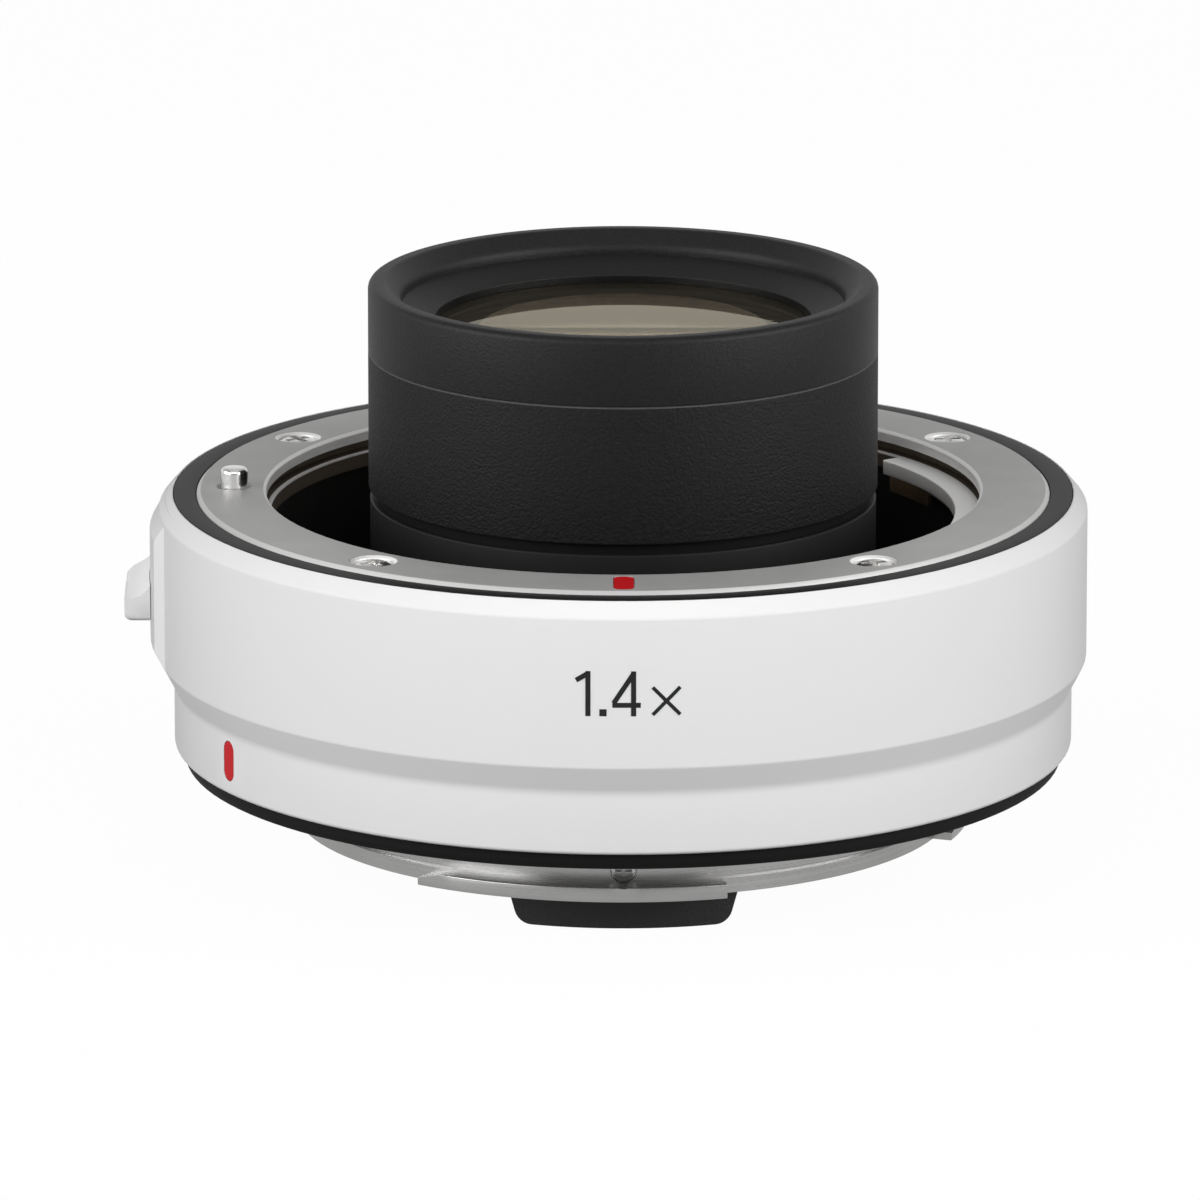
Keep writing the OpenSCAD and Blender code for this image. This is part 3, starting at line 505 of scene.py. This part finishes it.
class TELECONVERTER_OT_lens_mount(bpy.types.Operator):
    """Lens-side bayonet with its screws, index and leaf springs"""

    bl_idname = "teleconverter.lens_mount"
    bl_label = "Lens mount"

    def execute(self, context):
        c = colours()
        rim, _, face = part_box("lens_mount")[1]
        # The flange steel carries painted highlights and a painted brown shade behind its ledge.
        flange_steel = throat_metal(
            "lens_mount_steel",
            c.steel,
            0.62,
            c.flange_highlight,
            c.recess,
            rim_radius=rim - 0.6 * MM,
            face=face - 0.03 * MM,
            face_radius=27.56 * MM,
            wall_radius=26.9 * MM,
            under=19.36 * MM,
            ledge=18.6 * MM,
        )
        dress(["lens_mount"], flange_steel)
        dress(["lens_mount_screws"], plain_metal("screw_steel", c.screw, 0.24))
        dress(["lens_mount_index"], paint_fill("flange_red_fill", c.index))
        dress(["mount_leaf_springs"], plain_metal("leaf_bronze", c.bronze, 0.3))
        return {"FINISHED"}


class TELECONVERTER_OT_barrel(bpy.types.Operator):
    """Hood, grained sleeve, base and tube of the barrel"""

    bl_idname = "teleconverter.barrel"
    bl_label = "Barrel"

    def execute(self, context):
        c = colours()
        hood = hood_black("hood_black", c.hood, lip_radius=14.45 * MM, lip_top=33.52 * MM)
        dress(["front_hood"], hood)
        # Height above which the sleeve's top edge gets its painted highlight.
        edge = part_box("barrel_sleeve")[1][2] - 0.16 * MM
        dress(["barrel_sleeve"], grained("sleeve_grain", c.sleeve, 0.55, 0.2, 0.04, edge))
        dress(["barrel_base"], moulded("base_black", c.hood, 0.5, 0.12, 0.004, 0.14))
        dress(["barrel_screws"], plain_metal("base_screw_black", (0.05, 0.05, 0.05), 0.35))
        inner = moulded("tube_black", (0.003, 0.003, 0.003), 0.6, 0.2, 0.006, 0.1)
        dress(["lens_tube", "rear_spacer", "rear_retainer"], inner)
        dress(["front_spacer"], moulded("spacer_brown", c.spacer, 0.5, 0.2, 0.006, 0.2))
        return {"FINISHED"}


class TELECONVERTER_OT_glass(bpy.types.Operator):
    """Seven glass elements"""

    bl_idname = "teleconverter.glass"
    bl_label = "Glass"

    def execute(self, context):
        c = colours()
        dress(["lens_element_1"], coated_glass("front_glass", (0.68, 0.61, 0.6), c.coating))
        dress(GLASS_NODES[1:6], deep_glass("inner_glass", (0.12, 0.105, 0.092), c.coating))
        dress(["lens_element_7"], deep_glass("rear_glass", (0.02, 0.018, 0.025), (0.8, 0.7, 1.0)))
        return {"FINISHED"}


class TELECONVERTER_OT_inside(bpy.types.Operator):
    """Ring frame, board and front contacts"""

    bl_idname = "teleconverter.inside"
    bl_label = "Frame and front contacts"

    def execute(self, context):
        c = colours()
        dress(["chassis"], moulded("frame_black", c.inside, 0.55, 0.2, 0.006))
        dress(["front_contact_block"], moulded("contact_block_plastic", c.plastic, 0.5, 0.1, 0.004))
        dress(PIN_NODES, plain_metal("pin_gold", c.gold, 0.2))
        dress(["circuit_board"], moulded("board_green", c.board, 0.45, 0.3, 0.004))
        dress(["board_chips"], moulded("chip_black", c.chip, 0.5, 0.1, 0.003))
        dress(["board_screws"], plain_metal("board_screw_steel", c.screw, 0.3))
        dress(["front_flex", "rear_flex"], moulded("flex_amber", c.flex, 0.35, 0.4, 0.003))
        return {"FINISHED"}


class TELECONVERTER_OT_lock(bpy.types.Operator):
    """Lock pin and what moves it"""

    bl_idname = "teleconverter.lock"
    bl_label = "Lock"

    def execute(self, context):
        c = colours()
        dress(["lock_pin"], plain_metal("pin_steel", c.screw, 0.16))
        dress(["lock_slider", "lever_cross_pin", "lock_guide_rods"], plain_metal("lock_steel", c.screw, 0.3))
        return {"FINISHED"}


class TELECONVERTER_OT_camera_mount(bpy.types.Operator):
    """Camera-side bayonet, its screws and the gasket"""

    bl_idname = "teleconverter.camera_mount"
    bl_label = "Camera mount"

    def execute(self, context):
        c = colours()
        dress(["camera_mount"], turned_metal("camera_mount_steel", c.spigot, 0.28, 0.1))
        dress(["camera_mount_screws"], plain_metal("rear_screw_steel", c.screw, 0.22))
        dress(["baffle_screws"], plain_metal("side_screw_steel", c.spigot, 0.36))
        dress(["mount_gasket"], moulded("gasket_rubber", c.rubber, 0.6, 0.25, 0.006, 0.12))
        return {"FINISHED"}


class TELECONVERTER_OT_rear(bpy.types.Operator):
    """Rear frame and its contacts"""

    bl_idname = "teleconverter.rear"
    bl_label = "Rear frame and contacts"

    def execute(self, context):
        c = colours()
        dress(["rear_baffle"], moulded("baffle_plastic", c.plastic, 0.42, 0.16, 0.08))
        dress(["rear_contact_block"], moulded("rear_block_plastic", c.plastic, 0.5, 0.1, 0.004))
        dress(["rear_contact_pads"], plain_metal("pad_gold", c.gold, 0.2))
        return {"FINISHED"}


def coil_spring(name, material, centre, low, high, radius, wire, turns, sides=8, steps=24):
    """Round wire wound about an upright line from one height to another, with closed ends."""
    mesh = bmesh.new()
    count = turns * steps
    rings = []
    for k in range(count + 1):
        turn = 2.0 * math.pi * k / steps
        height = low + wire + (high - low - 2.0 * wire) * k / count
        ring = []
        for j in range(sides):
            lean = 2.0 * math.pi * j / sides
            r = radius + wire * math.cos(lean)
            x, y = centre[0] + r * math.cos(turn), centre[1] + r * math.sin(turn)
            ring.append(mesh.verts.new((x, y, height + wire * math.sin(lean))))
        rings.append(ring)
    for first, second in zip(rings, rings[1:]):
        for j in range(sides):
            n = (j + 1) % sides
            mesh.faces.new((first[j], second[j], second[n], first[n]))
    mesh.faces.new(rings[0])
    mesh.faces.new(reversed(rings[-1]))
    bmesh.ops.recalc_face_normals(mesh, faces=mesh.faces)
    for face in mesh.faces:
        face.smooth = len(face.verts) == 4
    data = bpy.data.meshes.new(name)
    mesh.to_mesh(data)
    mesh.free()
    data.materials.append(material)
    spring = bpy.data.objects.new(name, data)
    bpy.context.scene.collection.objects.link(spring)
    return spring


class TELECONVERTER_OT_springs(bpy.types.Operator):
    """Coil springs of the lock and of the contact pins"""

    bl_idname = "teleconverter.springs"
    bl_label = "Coil springs"

    def execute(self, context):
        wire_steel = plain_metal("spring_wire", colours().screw, 0.3)
        low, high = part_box("lock_spring")
        wire = 0.13 * MM
        centre = ((low[0] + high[0]) / 2, (low[1] + high[1]) / 2)
        radius = (high[0] - low[0]) / 2 - wire
        lock = coil_spring("lock_coil", wire_steel, centre, low[2], high[2], radius, wire, 4)
        self.fit(lock, "lock_spring", "release_slide", (*centre, low[2]), high[2] - low[2], LOCK_TRAVEL)

        low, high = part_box("contact_springs")
        for pin in PIN_NODES:
            number = pin[-2:]
            corner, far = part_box(pin)
            centre = ((corner[0] + far[0]) / 2, (corner[1] + far[1]) / 2)
            coil = coil_spring(
                f"contact_coil_{number}", wire_steel, centre, low[2], high[2], 0.46 * MM, 0.09 * MM, 4, 6, 16
            )
            joint = f"contact_{number}_press"
            self.fit(coil, "contact_springs", joint, (*centre, low[2]), high[2] - low[2], PIN_TRAVEL)
        return {"FINISHED"}

    @staticmethod
    def fit(coil, node, joint, foot, length, travel):
        """Seats a coil on the converter, gives it its own mesh and hides the solid that it stands in for."""
        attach(coil, BODY)
        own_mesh(coil)
        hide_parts(node)


def ribbon(mesh, path, width, wrap, steps=12):
    """Adds a flat stroke along a path of flat points, wrapped by a function of (across, up)."""
    for start, end in zip(path, path[1:]):
        a, b = Vector(start), Vector(end)
        side = Vector((a.y - b.y, b.x - a.x)).normalized() * width / 2
        rows = []
        for i in range(steps + 1):
            p = a.lerp(b, i / steps)
            rows.append([mesh.verts.new(wrap(p + side)), mesh.verts.new(wrap(p - side))])
        for lower, upper in zip(rows, rows[1:]):
            mesh.faces.new((lower[0], lower[1], upper[1], upper[0]))


class TELECONVERTER_OT_ratio_mark(bpy.types.Operator):
    """Plain ratio figure printed on the front of the shell"""

    bl_idname = "teleconverter.ratio_mark"
    bl_label = "Ratio figure"

    def execute(self, context):
        s = sizes()
        h, w = s.figure_height, s.figure_stroke
        half = w / 2

        def wrap(point):
            angle = point.x / s.figure_radius
            r = s.figure_radius + PRINT_LIFT
            return (r * math.sin(angle), -r * math.cos(angle), s.figure_base + point.y)

        strokes = [
            [(-2.67 * MM, 0.0), (-2.67 * MM, h)],
            [(-2.69 * MM, h - half), (-3.56 * MM, h - 0.72 * MM)],
            [(-1.82 * MM, 0.27 * MM), (-1.28 * MM, 0.27 * MM)],
            [(0.72 * MM, 0.0), (0.72 * MM, h)],
            [(0.72 * MM, h - half), (-0.76 * MM, 1.0 * MM)],
            [(-0.86 * MM, 0.85 * MM), (1.26 * MM, 0.85 * MM)],
            [(2.145 * MM, 0.1 * MM), (4.195 * MM, 2.2 * MM)],
            [(2.145 * MM, 2.2 * MM), (4.195 * MM, 0.1 * MM)],
        ]
        widths = [w, w, s.dot_width, w, w, w, s.cross_stroke, s.cross_stroke]
        mesh = bmesh.new()
        for path, width in zip(strokes, widths):
            ribbon(mesh, path, width, wrap)
        data = bpy.data.meshes.new("ratio_figure")
        mesh.to_mesh(data)
        mesh.free()
        mark = bpy.data.objects.new("ratio_figure", data)
        bpy.context.scene.collection.objects.link(mark)
        data.materials.append(paint_fill("figure_print", colours().figure))
        skin = mark.modifiers.new("print_thickness", "SOLIDIFY")
        skin.thickness = PRINT_THICKNESS
        skin.offset = 1.0
        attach(mark, BODY)
        return {"FINISHED"}


# Stage

WORLD_LEVEL = 0.2
PAPER_TO_OBJECT = 0.18
PAPER_TO_CAMERA = 0.95
GLOW_TO_CAMERA = 0.97
GLOW_TO_METAL = 0.55
FLOOR_RADIUS = 4.0
LAMP_AIM = (0.0, 0.0, 0.012)
# name, place, width and height, watts
LAMPS = (
    ("left_lamp", (-0.705, -0.375, 0.303), (0.9, 0.5), 6.4),
    ("right_lamp", (0.705, -0.375, 0.303), (0.9, 0.5), 6.4),
    ("front_lamp", (0.0, -0.75, 0.557), (0.7, 0.4), 1.8),
    ("top_lamp", (0.0, -0.05, 0.8), (0.7, 0.5), 0.5),
)
CAMERA_SENSOR = 36.0
CAMERA_LENS = 390.4
VIEW_TARGET = Vector((0.0, 0.0, 10.15 * MM))
VIEW_LEFT = 1.77 * MM
VIEW_UP = 1.11 * MM


def camera_sees(tree, rays):
    """1 for rays from the camera, straight or through glass."""
    straight, through = rays["Is Camera Ray"], rays["Is Transmission Ray"]
    return add_node(tree, "ShaderNodeMath", {0: straight, 1: through}, operation="MAXIMUM").outputs[0]


def stage_paper():
    """White paper that shows pure white to the camera, keeps a soft shadow and is clear from below."""
    material = bpy.data.materials.new("stage_paper")
    material.use_nodes = True
    tree = material.node_tree
    tree.nodes.clear()
    rays = add_node(tree, "ShaderNodeLightPath").outputs
    tones = {0: rays["Is Camera Ray"], 6: (*[PAPER_TO_OBJECT] * 3, 1.0), 7: (*[PAPER_TO_CAMERA] * 3, 1.0)}
    tone = add_node(tree, "ShaderNodeMix", tones, data_type="RGBA").outputs[2]
    paper = add_node(tree, "ShaderNodeBsdfDiffuse", {"Color": tone}).outputs[0]
    glow = add_node(tree, "ShaderNodeEmission", {"Strength": 1.0}).outputs[0]
    shine = {0: rays["Is Glossy Ray"], 1: GLOW_TO_METAL}
    mirrored = add_node(tree, "ShaderNodeMath", shine, operation="MULTIPLY").outputs[0]
    shares = {0: camera_sees(tree, rays), 1: GLOW_TO_CAMERA, 2: mirrored}
    share = add_node(tree, "ShaderNodeMath", shares, operation="MULTIPLY_ADD").outputs[0]
    top = add_node(tree, "ShaderNodeMixShader", {0: share, 1: paper, 2: glow}).outputs[0]
    below = add_node(tree, "ShaderNodeNewGeometry").outputs["Backfacing"]
    clear = add_node(tree, "ShaderNodeBsdfTransparent").outputs[0]
    one_sided = add_node(tree, "ShaderNodeMixShader", {0: below, 1: top, 2: clear}).outputs[0]
    add_node(tree, "ShaderNodeOutputMaterial", {"Surface": one_sided})
    return material


def stage_world(level):
    """World that lights evenly, shows white behind the object and a darker ceiling to its metal."""
    world = bpy.data.worlds.new("studio")
    bpy.context.scene.world = world
    world.use_nodes = True
    tree = world.node_tree
    tree.nodes.clear()

    def ramp(value, start, end, first, last):
        ends = {"Value": value, "From Min": start, "From Max": end, "To Min": first, "To Max": last}
        return add_node(tree, "ShaderNodeMapRange", ends).outputs[0]

    def background(strength):
        return add_node(tree, "ShaderNodeBackground", {"Strength": strength}).outputs[0]

    place = add_node(tree, "ShaderNodeTexCoord").outputs["Generated"]
    way = add_node(tree, "ShaderNodeSeparateXYZ", {0: place}).outputs
    ceiling = ramp(way["Z"], 0.2, 0.75, 1.0, 0.5)
    front = ramp(way["Y"], -0.7, 0.3, 0.45, 1.0)
    both = add_node(tree, "ShaderNodeMath", {0: ceiling, 1: front}, operation="MULTIPLY").outputs[0]
    rays = add_node(tree, "ShaderNodeLightPath").outputs
    unseen = {0: rays["Is Glossy Ray"], 1: background(level), 2: background(both)}
    lit = add_node(tree, "ShaderNodeMixShader", unseen).outputs[0]
    shown = {0: camera_sees(tree, rays), 1: lit, 2: background(1.0)}
    mix = add_node(tree, "ShaderNodeMixShader", shown).outputs[0]
    add_node(tree, "ShaderNodeOutputWorld", {"Surface": mix})


def softbox(name, place, size, watts):
    """Large soft lamp aimed at the object."""
    lamp = bpy.data.lights.new(name, "AREA")
    lamp.shape = "RECTANGLE"
    lamp.size, lamp.size_y = size
    lamp.energy = watts
    holder = bpy.data.objects.new(name, lamp)
    bpy.context.scene.collection.objects.link(holder)
    way = Vector(LAMP_AIM) - Vector(place)
    turn = way.to_track_quat("-Z", "Y").to_matrix()
    holder.matrix_world = Matrix.Translation(place) @ turn.to_4x4()
    holder.visible_camera = False


class TELECONVERTER_OT_stage(bpy.types.Operator):
    """Floor, studio light and the camera"""

    bl_idname = "teleconverter.stage"
    bl_label = "Stage and camera"

    def execute(self, context):
        s = sizes()
        scene = bpy.context.scene
        scene.view_settings.view_transform = "Standard"
        stage_world(WORLD_LEVEL)

        mesh = bmesh.new()
        bmesh.ops.create_circle(mesh, cap_ends=True, segments=96, radius=FLOOR_RADIUS)
        data = bpy.data.meshes.new("stage_floor")
        mesh.to_mesh(data)
        mesh.free()
        floor = bpy.data.objects.new("stage_floor", data)
        scene.collection.objects.link(floor)
        floor.location.z = CAD_BOX[0][2]
        data.materials.append(stage_paper())

        for lamp in LAMPS:
            softbox(*lamp)

        camera = bpy.data.objects.new("view_camera", bpy.data.cameras.new("view_camera"))
        scene.collection.objects.link(camera)
        camera.data.sensor_width = CAMERA_SENSOR
        camera.data.lens = CAMERA_LENS
        camera.data.clip_start = 0.01
        camera.data.clip_end = 20.0
        tilt = s.view_elevation
        right = Vector((1.0, 0.0, 0.0))
        back = Vector((0.0, -math.cos(tilt), math.sin(tilt)))
        up = Vector((0.0, math.sin(tilt), math.cos(tilt)))
        place = VIEW_TARGET + back * s.view_distance - right * VIEW_LEFT + up * VIEW_UP
        turn = Matrix((right, up, back)).transposed()
        camera.matrix_world = Matrix.Translation(place) @ turn.to_4x4()
        scene.camera = camera
        return {"FINISHED"}


OPERATORS = (
    TELECONVERTER_OT_shell,
    TELECONVERTER_OT_lens_mount,
    TELECONVERTER_OT_barrel,
    TELECONVERTER_OT_glass,
    TELECONVERTER_OT_inside,
    TELECONVERTER_OT_lock,
    TELECONVERTER_OT_camera_mount,
    TELECONVERTER_OT_rear,
    TELECONVERTER_OT_springs,
    TELECONVERTER_OT_ratio_mark,
    TELECONVERTER_OT_stage,
)


class TELECONVERTER_PT_sidebar(bpy.types.Panel):
    """Lists the pieces, their colours and their sizes"""

    bl_label = "Teleconverter"
    bl_idname = "TELECONVERTER_PT_sidebar"
    bl_space_type = "VIEW_3D"
    bl_region_type = "UI"
    bl_category = "Teleconverter"

    def draw(self, context):
        for operator in OPERATORS:
            self.layout.operator(operator.bl_idname)
        for group in (context.scene.teleconverter_colours, context.scene.teleconverter_sizes):
            for name in group.bl_rna.properties.keys():
                if name not in ("rna_type", "name"):
                    self.layout.prop(group, name)


CLASSES = (TeleconverterColours, TeleconverterSizes, *OPERATORS, TELECONVERTER_PT_sidebar)


def register():
    for cls in CLASSES:
        bpy.utils.register_class(cls)
    bpy.types.Scene.teleconverter_colours = bpy.props.PointerProperty(type=TeleconverterColours)
    bpy.types.Scene.teleconverter_sizes = bpy.props.PointerProperty(type=TeleconverterSizes)


def unregister():
    del bpy.types.Scene.teleconverter_sizes
    del bpy.types.Scene.teleconverter_colours
    for cls in reversed(CLASSES):
        bpy.utils.unregister_class(cls)


def main():
    register()
    for operator in OPERATORS:
        getattr(bpy.ops.teleconverter, operator.bl_idname.split(".")[1])()


if __name__ == "__main__":
    main()
